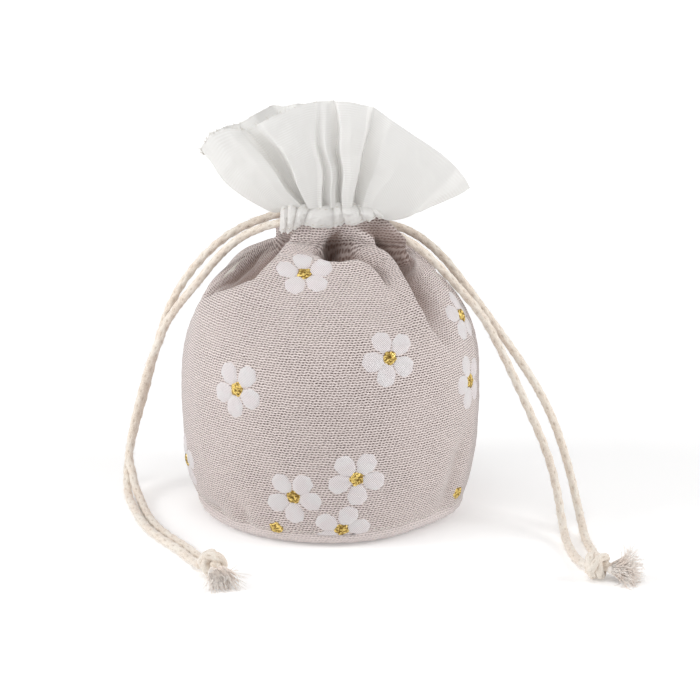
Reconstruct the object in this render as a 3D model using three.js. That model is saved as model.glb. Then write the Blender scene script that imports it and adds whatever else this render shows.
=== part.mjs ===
// Drawstring gift sack: a round-bottomed fabric pouch with a gathered neck, a corded
// casing, a standing ruffle and two knotted drawcords.
// Millimetres, +Z up. The origin is the centre of the base, on the table. -Y is the front.

import * as THREE from "three";

// ---------------------------------------------------------------- driving dimensions

const CLEARANCE = 0.3;        // between neighbouring pieces of fabric

const BODY_R = 49.3;          // belly radius
const BASE_R = 41;            // radius at the table
const BELLY_Z = 45;           // height of the widest place
const BODY_TOP_Z = 90.6;      // where the gathered body ends
const BODY_WALL = 1.0;
const BASE_THICK = 1.0;
const SHOULDER_POWER = 2.2;   // how square the shoulder is
const SHOULDER_ROUND = 0.75;
const FOOT_POWER = 3;         // how square the lower edge is
const FOOT_ROUND = 0.7;

const SEAM_WIDTH = 4;         // seam allowance inside the sack
const SEAM_THICK = 1.2;

const CORD_D = 2.8;
const CORD_SIDES = 8;
const CORD_STEP = 7;          // length of one straight step of a free strand
const BIGHT_STEP = 1.6;       // and of a tight turn
const CORD_ROW_GAP = 0.4;     // between the two cords inside the casing
const NECK_HALF_FLAT = 9;     // half of the straight side of the gathered neck
const CORD_TURN_R = 6.5;      // radius of a cord's turn round the end of the neck
const FABRIC = 0.8;           // wall of the casing, the facing and the ruffle
const CASING_HALF_WIDTH = 11;
const STITCH_H = 0.7;         // height of a row of gathering stitches
const CORD_LET_OUT = 12;      // how far a drawcord can still be pulled
const STRAND_HELD = 5;        // length of a strand still in the casing when pulled right out

const RUFFLE_HEIGHT = 35.6;   // highest place of the rim above the neck
const RUFFLE_LEFT = 19.6;     // and the rim at the two ends of the ruffle
const RUFFLE_RIGHT = 6.6;
const RUFFLE_REACH_X = 43.5;  // half width at the rim
const RUFFLE_REACH_Y = 17;    // half depth at the rim
const RUFFLE_RIPPLE = 2.4;    // depth of the ripples at the rim
const RUFFLE_WAVES = 9;       // ripples round the whole rim

const KNOT_R = 4.7;
const FRAY_LENGTH = 9;
const FRAY_R = 2.5;           // the loose end of a frayed cord
const FRAY_SPREAD = 0.34;     // angle of each frayed end from the middle, radians

// ---------------------------------------------------------------- derived places

const CORD_R = CORD_D / 2;
const LOWER_STITCH_Z = BODY_TOP_Z + CLEARANCE;
const CASING_Z0 = LOWER_STITCH_Z + STITCH_H + CLEARANCE;
const RIGHT_CORD_Z = CASING_Z0 + FABRIC + CLEARANCE + CORD_R;
const LEFT_CORD_Z = RIGHT_CORD_Z + CORD_D + CORD_ROW_GAP;
const CASING_Z1 = LEFT_CORD_Z + CORD_R + CLEARANCE + FABRIC;
const UPPER_STITCH_Z = CASING_Z1 + CLEARANCE;
const RUFFLE_Z0 = UPPER_STITCH_Z + STITCH_H + CLEARANCE;
const FACING_R1 = CORD_TURN_R - CORD_R - CLEARANCE;
const FACING_R0 = FACING_R1 - FABRIC;
const CASING_R0 = CORD_TURN_R + CORD_R + CLEARANCE;
const CASING_R1 = CASING_R0 + FABRIC;
const STRAND_INNER_X = CORD_LET_OUT + STRAND_HELD - CASING_HALF_WIDTH;

// ---------------------------------------------------------------- materials

function fabric(name, color, roughness) {
  const material = new THREE.MeshStandardMaterial({ color, roughness, metalness: 0 });
  material.name = name;
  return material;
}

const TAUPE = fabric("taupe_weave", 0xc5b8b4, 0.9);
const WHITE = fabric("white_voile", 0xeaeae7, 0.8);
const CORD = fabric("cotton_cord", 0xd9cfbd, 0.95);
const THREAD = fabric("white_thread", 0xe6e2da, 0.85);

// ---------------------------------------------------------------- geometry helpers

// Half outline of the gathered neck and the round body: straight sides of half length
// "flat" that vanish as the section becomes a circle. angle 0 is +X, 90 degrees is +Y.
function section(angle, flat, halfDepth) {
  const along = THREE.MathUtils.clamp(2.5 * Math.cos(angle), -1, 1);
  return new THREE.Vector2(
    flat * along + halfDepth * Math.cos(angle),
    halfDepth * Math.sin(angle),
  );
}

// One closed solid between two grids of points, outer(u, v) and inner(u, v), u and v in 0..1.
function sheetSolid(outer, inner, stepsU, stepsV) {
  const points = [];
  for (const side of [outer, inner]) {
    for (let j = 0; j <= stepsV; j += 1) {
      for (let i = 0; i <= stepsU; i += 1) {
        points.push(side(i / stepsU, j / stepsV));
      }
    }
  }
  const row = stepsU + 1;
  const layer = row * (stepsV + 1);
  const at = (side, i, j) => side * layer + j * row + i;
  const index = [];
  const quad = (a, b, c, d) => index.push(a, b, c, a, c, d);
  for (let j = 0; j < stepsV; j += 1) {
    for (let i = 0; i < stepsU; i += 1) {
      quad(at(0, i, j), at(0, i + 1, j), at(0, i + 1, j + 1), at(0, i, j + 1));
      quad(at(1, i, j), at(1, i, j + 1), at(1, i + 1, j + 1), at(1, i + 1, j));
    }
    quad(at(0, 0, j), at(0, 0, j + 1), at(1, 0, j + 1), at(1, 0, j));
    quad(at(0, stepsU, j), at(1, stepsU, j), at(1, stepsU, j + 1), at(0, stepsU, j + 1));
  }
  for (let i = 0; i < stepsU; i += 1) {
    quad(at(0, i, 0), at(1, i, 0), at(1, i + 1, 0), at(0, i + 1, 0));
    quad(at(0, i, stepsV), at(0, i + 1, stepsV), at(1, i + 1, stepsV), at(1, i, stepsV));
  }
  const geometry = new THREE.BufferGeometry();
  geometry.setFromPoints(points);
  geometry.setIndex(signedVolume(points, index) < 0 ? index.reverse() : index);
  return geometry;
}

function signedVolume(points, index) {
  let volume = 0;
  for (let k = 0; k < index.length; k += 3) {
    const [a, b, c] = [points[index[k]], points[index[k + 1]], points[index[k + 2]]];
    volume += a.dot(new THREE.Vector3().crossVectors(b, c));
  }
  return volume;
}

// Outline of the flattened neck, a slot with round ends of radius "r".
function slotShape(r) {
  const shape = new THREE.Shape();
  shape.moveTo(-NECK_HALF_FLAT, -r);
  shape.lineTo(NECK_HALF_FLAT, -r);
  shape.absarc(NECK_HALF_FLAT, 0, r, -Math.PI / 2, Math.PI / 2, false);
  shape.lineTo(-NECK_HALF_FLAT, r);
  shape.absarc(-NECK_HALF_FLAT, 0, r, Math.PI / 2, 1.5 * Math.PI, false);
  return shape;
}

function slotRing(r0, r1, height) {
  const shape = slotShape(r1);
  shape.holes.push(slotShape(r0));
  return new THREE.ExtrudeGeometry(shape, {
    depth: height,
    bevelEnabled: false,
    curveSegments: 10,
  });
}

function named(name, geometry, material) {
  const mesh = new THREE.Mesh(geometry, material);
  mesh.name = name;
  return mesh;
}

// ---------------------------------------------------------------- body of the sack

const BODY_TOP_HALF_DEPTH = CASING_R1 + CLEARANCE;
const BODY_ROWS = 16;

// Flat side and half depth of the outer skin at height z.
function bodySection(z) {
  if (z < BELLY_Z) {
    const drop = 1 - z / BELLY_Z;
    const share = (1 - drop ** FOOT_POWER) ** FOOT_ROUND;
    return { flat: 0, halfDepth: BASE_R + (BODY_R - BASE_R) * share };
  }
  const rise = (z - BELLY_Z) / (BODY_TOP_Z - BELLY_Z);
  const share = Math.max(0, 1 - rise ** SHOULDER_POWER) ** SHOULDER_ROUND;
  return {
    flat: NECK_HALF_FLAT * (1 - share),
    halfDepth: BODY_TOP_HALF_DEPTH + (BODY_R - BODY_TOP_HALF_DEPTH) * share,
  };
}

// Heights of the rows of facets, v in 0..1: close together at the foot and the neck.
function bodyLevel(v) {
  return BODY_TOP_Z * Math.sin((v * Math.PI) / 2) ** 1.15;
}

// side -1 is the front half, +1 the back half
function bodyPanel(side) {
  const skin = (wall) => (u, v) => {
    const z = bodyLevel(v);
    const { flat, halfDepth } = bodySection(z);
    const p = section(side * u * Math.PI, flat, halfDepth - wall);
    return new THREE.Vector3(p.x, p.y + (side * CLEARANCE) / 2, z);
  };
  return sheetSolid(skin(0), skin(BODY_WALL), 28, BODY_ROWS);
}

// Half width of the faceted outer skin at height z.
function facetedHalfWidth(z) {
  let row = 0;
  while (bodyLevel((row + 1) / BODY_ROWS) < z) row += 1;
  const [z0, z1] = [bodyLevel(row / BODY_ROWS), bodyLevel((row + 1) / BODY_ROWS)];
  const [a, b] = [bodySection(z0), bodySection(z1)];
  const share = (z - z0) / (z1 - z0);
  return THREE.MathUtils.lerp(a.flat + a.halfDepth, b.flat + b.halfDepth, share);
}

function basePanel() {
  const geometry = new THREE.CylinderGeometry(
    BASE_R - BODY_WALL - CLEARANCE,
    BASE_R - BODY_WALL - CLEARANCE,
    BASE_THICK,
    48,
  );
  geometry.rotateX(Math.PI / 2);
  geometry.translate(0, 0, BASE_THICK / 2);
  return geometry;
}

// The seam allowance that stands inward along a side seam. side -1 is left, +1 right.
function sideSeam(side) {
  const z0 = BASE_THICK + CLEARANCE + SEAM_THICK + CLEARANCE;
  const z1 = BODY_TOP_Z - 6;
  const rows = [z0];
  for (let row = 0; row <= BODY_ROWS; row += 1) {
    const z = bodyLevel(row / BODY_ROWS);
    if (z > z0 && z < z1) rows.push(z);
  }
  rows.push(z1);
  const inset = BODY_WALL + 2 * CLEARANCE;
  const point = (z, width) => new THREE.Vector2(side * (facetedHalfWidth(z) - inset - width), z);
  const wall = rows.map((z) => point(z, 0));
  const edge = rows.map((z) => point(z, SEAM_WIDTH)).reverse();
  const points = [...wall, ...edge];
  const geometry = new THREE.ExtrudeGeometry(new THREE.Shape(points), {
    depth: SEAM_THICK,
    bevelEnabled: false,
  });
  geometry.rotateX(Math.PI / 2);
  geometry.translate(0, SEAM_THICK / 2, 0);
  return geometry;
}

// The seam allowance that lies on the base, all round it.
function baseSeam() {
  const z0 = BASE_THICK + CLEARANCE;
  const r1 = BASE_R - BODY_WALL - 2 * CLEARANCE;
  const r0 = r1 - SEAM_WIDTH;
  const profile = [
    new THREE.Vector2(r0, z0),
    new THREE.Vector2(r1, z0),
    new THREE.Vector2(r1, z0 + SEAM_THICK),
    new THREE.Vector2(r0, z0 + SEAM_THICK),
    new THREE.Vector2(r0, z0),
  ];
  const geometry = new THREE.LatheGeometry(profile, 48);
  geometry.rotateX(Math.PI / 2);
  return geometry;
}

function sackBody() {
  const group = new THREE.Group();
  group.add(named("front_panel", bodyPanel(-1), TAUPE));
  group.add(named("back_panel", bodyPanel(1), TAUPE));
  group.add(named("base_panel", basePanel(), TAUPE));
  group.add(named("left_side_seam", sideSeam(-1), THREAD));
  group.add(named("right_side_seam", sideSeam(1), THREAD));
  group.add(named("base_seam", baseSeam(), THREAD));
  return group;
}

// ---------------------------------------------------------------- neck and casing

// One side of the cord casing: an outer wall with an upper and a lower hem turned in
// towards the facing. Both ends are open, where the cords come out.
function casing(side) {
  const hem = FACING_R1 + CLEARANCE;
  const profile = [
    [CASING_R1, CASING_Z0],
    [CASING_R1, CASING_Z1],
    [hem, CASING_Z1],
    [hem, CASING_Z1 - FABRIC],
    [CASING_R0, CASING_Z1 - FABRIC],
    [CASING_R0, CASING_Z0 + FABRIC],
    [hem, CASING_Z0 + FABRIC],
    [hem, CASING_Z0],
  ];
  const shape = new THREE.Shape(profile.map(([y, z]) => new THREE.Vector2(side * y, z)));
  const geometry = new THREE.ExtrudeGeometry(shape, {
    depth: 2 * CASING_HALF_WIDTH,
    bevelEnabled: false,
  });
  geometry.rotateX(Math.PI / 2);
  geometry.rotateZ(Math.PI / 2);
  geometry.translate(-CASING_HALF_WIDTH, 0, 0);
  return geometry;
}

function neck() {
  const group = new THREE.Group();
  const ring = (name, r0, z, height, material) => {
    const mesh = named(name, slotRing(r0, r0 + FABRIC, height), material);
    mesh.position.z = z;
    group.add(mesh);
  };
  ring("lower_stitch_row", CASING_R0, LOWER_STITCH_Z, STITCH_H, THREAD);
  ring("neck_facing", FACING_R0, CASING_Z0, CASING_Z1 - CASING_Z0, WHITE);
  ring("upper_stitch_row", CASING_R0, UPPER_STITCH_Z, STITCH_H, THREAD);
  group.add(named("casing_front", casing(-1), WHITE));
  group.add(named("casing_back", casing(1), WHITE));
  return group;
}

// ---------------------------------------------------------------- ruffle

// Middle surface of the ruffle. angle as in section(), rise 0 at the neck and 1 at the rim.
function ruffleSurface(angle, rise) {
  const foot = section(angle, NECK_HALF_FLAT, CASING_R1 - FABRIC / 2);
  const ends = (RUFFLE_LEFT + RUFFLE_RIGHT) / 2;
  const tilt = (RUFFLE_LEFT - RUFFLE_RIGHT) / 2;
  const height = Math.abs(Math.sin(angle)) ** 0.8;
  const rim = ends - tilt * Math.cos(angle) + (RUFFLE_HEIGHT - ends) * height;
  const ripple = RUFFLE_RIPPLE * Math.sin(RUFFLE_WAVES * angle) * height * rise;
  const flare = rise ** 1.3;
  return new THREE.Vector3(
    foot.x + (RUFFLE_REACH_X * Math.cos(angle) - foot.x) * flare + ripple * Math.cos(angle),
    foot.y + (RUFFLE_REACH_Y * Math.sin(angle) - foot.y) * flare + ripple * Math.sin(angle),
    RUFFLE_Z0 + rim * rise,
  );
}

function ruffle(side) {
  const endGap = 0.035;       // radians left open at each end, a slit in the ruffle
  const step = 1e-3;
  const skin = (offset) => (u, v) => {
    const angle = side * (endGap + u * (Math.PI - 2 * endGap));
    const p = ruffleSurface(angle, v);
    const du = ruffleSurface(angle + step, v).sub(ruffleSurface(angle - step, v));
    const dv = ruffleSurface(angle, v + step).sub(ruffleSurface(angle, Math.max(v - step, 0)));
    const normal = du.cross(dv).normalize();
    if (v === 0) normal.setZ(0).normalize();
    return p.addScaledVector(normal, offset);
  };
  return sheetSolid(skin(FABRIC / 2), skin(-FABRIC / 2), 40, 7);
}

// ---------------------------------------------------------------- drawcords

// Free ends of the cords. Each route starts inside the casing, comes out at the side of
// the neck, bows clear of the shoulder and lies forward along the table to its knot.
const TABLE = CORD_R + 0.05;

const LEFT_BACK_ROUTE = [
  [STRAND_INNER_X, CORD_TURN_R, LEFT_CORD_Z],
  [-6, CORD_TURN_R, LEFT_CORD_Z],
  [-17, CORD_TURN_R, LEFT_CORD_Z],
  [-24, 7.2, 95.4],
  [-32.5, 9.4, 90.8],
  [-41.1, 12, 83.2],
  [-48.8, 14.6, 73.3],
  [-54.5, 17.2, 62.6],
  [-57.5, 18.9, 53.7],
  [-60.4, 20.4, 43.8],
  [-63.2, 21.6, 33],
  [-66.2, 21.6, 22.6],
  [-68.4, 19.8, 14.2],
  [-69.2, 16, 8.6],
  [-69.2, 11.2, 5.2],
  [-68.6, 5.2, 2.8],
  [-67.4, -1, TABLE],
  [-65.4, -9, TABLE],
  [-62.6, -20, TABLE],
  [-58.8, -30.6, TABLE],
  [-53.6, -40.6, TABLE],
  [-48.2, -49.6, TABLE],
  [-44, -58, TABLE],
  [-40.4, -67, 2.6],
];

const LEFT_FRONT_ROUTE = [
  [STRAND_INNER_X, -CORD_TURN_R, LEFT_CORD_Z],
  [-6, -CORD_TURN_R, LEFT_CORD_Z],
  [-17, -CORD_TURN_R, LEFT_CORD_Z],
  [-23.8, -5.2, 95.3],
  [-29.6, -3, 91.8],
  [-34.4, -0.6, 87.3],
  [-39.1, 2.4, 81.7],
  [-43, 5.4, 76.2],
  [-46.8, 8.2, 71],
  [-51.4, 11.8, 64.6],
  [-55.6, 14.9, 57.4],
  [-58.2, 16.1, 50.6],
  [-60.6, 17, 44.8],
  [-63.9, 18.2, 34],
  [-66.6, 18.2, 23.6],
  [-68.3, 16.5, 15.1],
  [-68.5, 13.6, 10.9],
  [-67.3, 10, 7.5],
  [-66, 4.6, 4.4],
  [-64.2, -0.6, 2.3],
  [-62.3, -8.3, TABLE],
  [-59.6, -19.1, TABLE],
  [-55.9, -29.3, TABLE],
  [-50.9, -39.1, TABLE],
  [-45.4, -48.1, TABLE],
  [-41.2, -56.7, TABLE],
  [-37.2, -65.7, 2.6],
];

const RIGHT_BACK_ROUTE = [
  [-STRAND_INNER_X, CORD_TURN_R, RIGHT_CORD_Z],
  [6, CORD_TURN_R, RIGHT_CORD_Z],
  [17, CORD_TURN_R, RIGHT_CORD_Z],
  [23, 6.4, 93.2],
  [30, 5.8, 89.6],
  [37, 4.2, 83.6],
  [43.8, 2, 75.4],
  [50.2, 0, 67],
  [56.4, -2.4, 58.8],
  [62.8, -5, 50],
  [68.6, -7.6, 41],
  [73.2, -10.4, 31.8],
  [76.4, -13.6, 23],
  [78.8, -17.6, 14.8],
  [80.4, -23, 8],
  [81.4, -30, 3.6],
  [82, -39, TABLE],
  [83, -49, TABLE],
  [84.4, -59, TABLE],
  [84.9, -67.3, 2.6],
];

const RIGHT_FRONT_ROUTE = [
  [-STRAND_INNER_X, -CORD_TURN_R, RIGHT_CORD_Z],
  [6, -CORD_TURN_R, RIGHT_CORD_Z],
  [17, -CORD_TURN_R, RIGHT_CORD_Z],
  [22.6, -6.3, 93],
  [28.4, -5.9, 89.4],
  [35.2, -5.4, 83],
  [42.4, -5.2, 75],
  [49.6, -6.2, 66.2],
  [55.4, -8, 56],
  [60.4, -10.2, 45.8],
  [65.2, -12.8, 35.6],
  [69.4, -16.2, 26.4],
  [72.2, -20.4, 18.6],
  [73.8, -25.6, 11.8],
  [74.7, -32, 6],
  [75.3, -39.6, 2.6],
  [76.2, -48, TABLE],
  [77.8, -58, TABLE],
  [80.6, -67.9, 2.6],
];

const LEFT_KNOT = [-36.2, -70.2];
const RIGHT_KNOT = [82.8, -72];
const LEFT_FRAY_HEADING = -1.25;    // where the frayed ends point, radians from +X
const RIGHT_FRAY_HEADING = -0.15;

function smoothCurve(points) {
  return new THREE.CatmullRomCurve3(
    points.map(([x, y, z]) => new THREE.Vector3(x, y, z)),
    false,
    "centripetal",
  );
}

function cordTube(points, step) {
  const curve = smoothCurve(points);
  const circle = new THREE.Shape();
  for (let k = 0; k < CORD_SIDES; k += 1) {
    const a = (2 * Math.PI * k) / CORD_SIDES;
    const p = [CORD_R * Math.cos(a), CORD_R * Math.sin(a)];
    if (k === 0) circle.moveTo(...p);
    else circle.lineTo(...p);
  }
  return new THREE.ExtrudeGeometry(circle, {
    steps: Math.ceil(curve.getLength() / step),
    extrudePath: curve,
    bevelEnabled: false,
  });
}

// The part of a cord that turns round the end of the neck, opposite its free ends.
// side +1 turns round the right end.
function cordBight(side, z) {
  const x0 = STRAND_INNER_X + CLEARANCE;
  const points = [[side * x0, -CORD_TURN_R, z]];
  const turns = 8;
  for (let k = 0; k <= turns; k += 1) {
    const a = -Math.PI / 2 + (Math.PI * k) / turns;
    const x = NECK_HALF_FLAT + CORD_TURN_R * Math.cos(a);
    points.push([side * x, CORD_TURN_R * Math.sin(a), z]);
  }
  points.push([side * x0, CORD_TURN_R, z]);
  return cordTube(points, BIGHT_STEP);
}

function knot(place) {
  const mesh = new THREE.Mesh(new THREE.SphereGeometry(KNOT_R, 14, 10), CORD);
  mesh.position.set(place[0], place[1], KNOT_R);
  return mesh;
}

// One frayed end: a short brush that widens away from the knot.
function frayedEnd(place, heading) {
  const geometry = new THREE.CylinderGeometry(FRAY_R, CORD_R, FRAY_LENGTH, 10);
  geometry.rotateZ(-Math.PI / 2);
  const mesh = new THREE.Mesh(geometry, CORD);
  const reach = KNOT_R + CLEARANCE + FRAY_LENGTH / 2;
  mesh.position.set(
    place[0] + reach * Math.cos(heading),
    place[1] + reach * Math.sin(heading),
    FRAY_R + 0.2,
  );
  mesh.rotation.z = heading;
  return mesh;
}

function drawcord(name, backRoute, frontRoute, place, heading) {
  const group = new THREE.Group();
  group.add(named(`${name}_cord_back_strand`, cordTube(backRoute, CORD_STEP), CORD));
  group.add(named(`${name}_cord_front_strand`, cordTube(frontRoute, CORD_STEP), CORD));
  const tie = knot(place);
  tie.name = `${name}_knot`;
  group.add(tie);
  for (const [letter, turn] of [["a", -FRAY_SPREAD], ["b", FRAY_SPREAD]]) {
    const end = frayedEnd(place, heading + turn);
    end.name = `${name}_frayed_end_${letter}`;
    group.add(end);
  }
  return group;
}

// ---------------------------------------------------------------- the whole sack

const sack = new THREE.Group();
sack.add(sackBody());
sack.add(neck());
sack.add(named("ruffle_front", ruffle(-1), WHITE));
sack.add(named("ruffle_back", ruffle(1), WHITE));
sack.add(named("left_cord_bight", cordBight(1, LEFT_CORD_Z), CORD));
sack.add(named("right_cord_bight", cordBight(-1, RIGHT_CORD_Z), CORD));
sack.add(drawcord("left", LEFT_BACK_ROUTE, LEFT_FRONT_ROUTE, LEFT_KNOT, LEFT_FRAY_HEADING));
sack.add(drawcord("right", RIGHT_BACK_ROUTE, RIGHT_FRONT_ROUTE, RIGHT_KNOT, RIGHT_FRAY_HEADING));

export default sack;
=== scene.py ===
"""Looks of the drawstring gift sack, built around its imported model.

Lengths are in millimetres until new_object() turns them into metres. +Z is up, -Y is the
front, and angles go round the sack from +X (0) through +Y (90), so -90 is the front.
"""

import math

import bpy
import numpy as np
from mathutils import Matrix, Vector, noise

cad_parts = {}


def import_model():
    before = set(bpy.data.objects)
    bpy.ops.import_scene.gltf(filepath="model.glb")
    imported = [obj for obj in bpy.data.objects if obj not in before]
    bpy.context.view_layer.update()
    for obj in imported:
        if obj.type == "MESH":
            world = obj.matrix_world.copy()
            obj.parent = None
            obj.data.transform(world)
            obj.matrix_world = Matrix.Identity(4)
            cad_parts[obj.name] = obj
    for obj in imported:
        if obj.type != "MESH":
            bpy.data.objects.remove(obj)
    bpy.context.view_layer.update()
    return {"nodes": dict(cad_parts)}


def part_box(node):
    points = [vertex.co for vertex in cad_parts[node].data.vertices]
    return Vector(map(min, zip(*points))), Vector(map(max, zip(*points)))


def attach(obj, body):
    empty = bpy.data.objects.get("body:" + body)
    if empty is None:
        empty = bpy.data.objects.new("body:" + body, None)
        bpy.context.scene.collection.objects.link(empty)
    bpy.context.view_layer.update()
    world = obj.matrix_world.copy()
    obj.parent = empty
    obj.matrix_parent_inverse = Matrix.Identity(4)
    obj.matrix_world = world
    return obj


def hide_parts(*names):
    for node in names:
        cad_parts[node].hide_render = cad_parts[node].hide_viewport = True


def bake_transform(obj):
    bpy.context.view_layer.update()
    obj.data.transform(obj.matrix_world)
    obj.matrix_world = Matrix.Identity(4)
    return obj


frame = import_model()

MM = 0.001
FRONT, BACK = -1, 1


def box_mm(node):
    low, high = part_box(node)
    return np.array(low) / MM, np.array(high) / MM


# ---------------------------------------------------------------- sizes from the frame

PANEL_HIGH = box_mm("front_panel")[1]
CASING_LOW = box_mm("casing_front")[0]

BODY_R = PANEL_HIGH[0]              # belly radius
BODY_TOP = PANEL_HIGH[2]            # where the round body ends in the gathered neck
BELLY_Z = 45
FOOT_R = 41                         # radius at the table
NECK_FLAT = 9                       # half of the straight side of the gathered neck
NECK_DEPTH = -CASING_LOW[1] + 0.3   # half depth of the gathered neck
CASING_Z0 = 94.2                    # where the white casing is sewn to the body
CASING_Z1 = 104.6                   # where the casing is gathered under the ruffle
BASE_SEAM_Z = 4.6
CORD_D = 2.8
CORD_R = CORD_D / 2


# ---------------------------------------------------------------- camera

def make_camera():
    target = Vector((6.3, 0, 53.2)) * MM
    elevation = math.radians(16)
    distance, view_width = 0.9, 0.231
    towards = Vector((0, math.cos(elevation), -math.sin(elevation)))
    data = bpy.data.cameras.new("camera")
    data.sensor_width = 36
    data.lens = data.sensor_width * distance / view_width
    data.clip_start, data.clip_end = 0.01, 20
    camera = bpy.data.objects.new("camera", data)
    bpy.context.scene.collection.objects.link(camera)
    camera.location = target - towards * distance
    camera.rotation_euler = towards.to_track_quat("-Z", "Y").to_euler()
    bpy.context.scene.camera = camera


make_camera()


# ---------------------------------------------------------------- small helpers

def smoothstep(low, high, x):
    t = np.clip((np.asarray(x, float) - low) / (high - low), 0, 1)
    return t * t * (3 - 2 * t)


def bell(x, width):
    return np.exp(-((np.asarray(x, float) / width) ** 2))


def unit(v):
    return v / np.maximum(np.linalg.norm(v, axis=-1, keepdims=True), 1e-12)


def cloud(points, size, seed=0.0):
    """Smooth noise from -1 to 1 at each point, with lumps of the given size."""
    flat = np.asarray(points, float).reshape(-1, 3) / size + seed
    values = [noise.noise(Vector(p)) for p in flat]
    return np.array(values).reshape(np.asarray(points).shape[:-1])


def new_object(name, points, faces, material, cloth=None):
    """A mesh object from points in millimetres. cloth is each point's place on the cloth; on the body its
    third number is painted shade for the folds.
    """
    mesh = bpy.data.meshes.new(name)
    mesh.from_pydata((np.asarray(points, float).reshape(-1, 3) * MM).tolist(), [], faces)
    mesh.polygons.foreach_set("use_smooth", [True] * len(mesh.polygons))
    if cloth is not None:
        layer = mesh.attributes.new("cloth", "FLOAT_VECTOR", "POINT")
        layer.data.foreach_set("vector", np.asarray(cloth, np.float32).ravel())
    mesh.materials.append(material)
    obj = bpy.data.objects.new(name, mesh)
    bpy.context.scene.collection.objects.link(obj)
    return obj


def grid_faces(rows, cols, wrap=False, flip=False):
    faces = []
    for r in range(rows - 1):
        for c in range(cols if wrap else cols - 1):
            a, b = r * cols + c, r * cols + (c + 1) % cols
            quad = (a, b, b + cols, a + cols)
            faces.append(quad[::-1] if flip else quad)
    return faces


def grid_normals(p, flip=False):
    du = np.gradient(p, axis=1)
    dv = np.gradient(p, axis=0)
    n = unit(np.cross(du, dv))
    return -n if flip else n


class Pile:
    """Collects several small meshes that become one object."""

    def __init__(self):
        self.points, self.cloth, self.faces, self.count = [], [], [], 0

    def add(self, points, faces, cloth=None):
        points = np.asarray(points, float).reshape(-1, 3)
        self.points.append(points)
        self.cloth.append(points if cloth is None else np.asarray(cloth, float).reshape(-1, 3))
        self.faces += [tuple(self.count + i for i in face) for face in faces]
        self.count += len(points)

    def build(self, name, material):
        cloth = np.vstack(self.cloth)
        return new_object(name, np.vstack(self.points), self.faces, material, cloth)


def piece(obj, body, node=None):
    """Says which body carries an object and which node it replaces."""
    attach(obj, body)
    if node:
        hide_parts(node)


# ---------------------------------------------------------------- materials

class Nodes:
    """Short ways to write the nodes of one material."""

    def __init__(self, name, roughness, **sockets):
        self.material = bpy.data.materials.new(name)
        self.material.use_nodes = True
        self.tree = self.material.node_tree
        self.shader = self.tree.nodes["Principled BSDF"]
        self.shader.inputs["Roughness"].default_value = roughness
        for socket, value in sockets.items():
            self.shader.inputs[socket.replace("_", " ")].default_value = value

    def put(self, socket, value):
        if isinstance(value, bpy.types.NodeSocket):
            self.tree.links.new(value, socket)
        elif value is not None:
            socket.default_value = value

    def math(self, operation, a, b=None, c=None):
        node = self.tree.nodes.new("ShaderNodeMath")
        node.operation = operation
        for socket, value in zip(node.inputs, (a, b, c)):
            self.put(socket, value)
        return node.outputs[0]

    def add(self, a, b):
        return self.math("ADD", a, b)

    def times(self, a, b):
        return self.math("MULTIPLY", a, b)

    def wave(self, x, period):
        """cos(2 pi x / period)"""
        return self.math("COSINE", self.times(x, math.tau / period))

    def range(self, x, low, high, out_low=0.0, out_high=1.0):
        node = self.tree.nodes.new("ShaderNodeMapRange")
        node.interpolation_type = "SMOOTHSTEP"
        for socket, value in zip(node.inputs, (x, low, high, out_low, out_high)):
            self.put(socket, value)
        return node.outputs[0]

    def colour(self, amount, a, b):
        node = self.tree.nodes.new("ShaderNodeMix")
        node.data_type = "RGBA"
        self.put(node.inputs[0], amount)
        for socket, value in ((node.inputs[6], a), (node.inputs[7], b)):
            self.put(socket, value if isinstance(value, bpy.types.NodeSocket) else (*value, 1))
        return node.outputs[2]

    def cloth(self):
        node = self.tree.nodes.new("ShaderNodeAttribute")
        node.attribute_name = "cloth"
        parts = self.tree.nodes.new("ShaderNodeSeparateXYZ")
        self.tree.links.new(node.outputs["Vector"], parts.inputs[0])
        return node.outputs["Vector"], parts.outputs[0], parts.outputs[1], parts.outputs[2]

    def place(self):
        return self.tree.nodes.new("ShaderNodeTexCoord").outputs["Object"]

    def noise(self, vector, scale, detail=2.0):
        node = self.tree.nodes.new("ShaderNodeTexNoise")
        node.inputs["Scale"].default_value = scale
        node.inputs["Detail"].default_value = detail
        self.put(node.inputs["Vector"], vector)
        return node.outputs[0]

    def cells(self, vector, scale, output="Color"):
        node = self.tree.nodes.new("ShaderNodeTexVoronoi")
        node.inputs["Scale"].default_value = scale
        self.put(node.inputs["Vector"], vector)
        return node.outputs[output]

    def finish(self, base, height=None, depth=0.1, strength=1.0, roughness=None):
        self.put(self.shader.inputs["Base Color"], base)
        self.put(self.shader.inputs["Roughness"], roughness)
        if height is not None:
            bump = self.tree.nodes.new("ShaderNodeBump")
            bump.inputs["Distance"].default_value = depth * MM
            bump.inputs["Strength"].default_value = strength
            self.put(bump.inputs["Height"], height)
            self.tree.links.new(bump.outputs[0], self.shader.inputs["Normal"])
        return self.material


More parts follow.
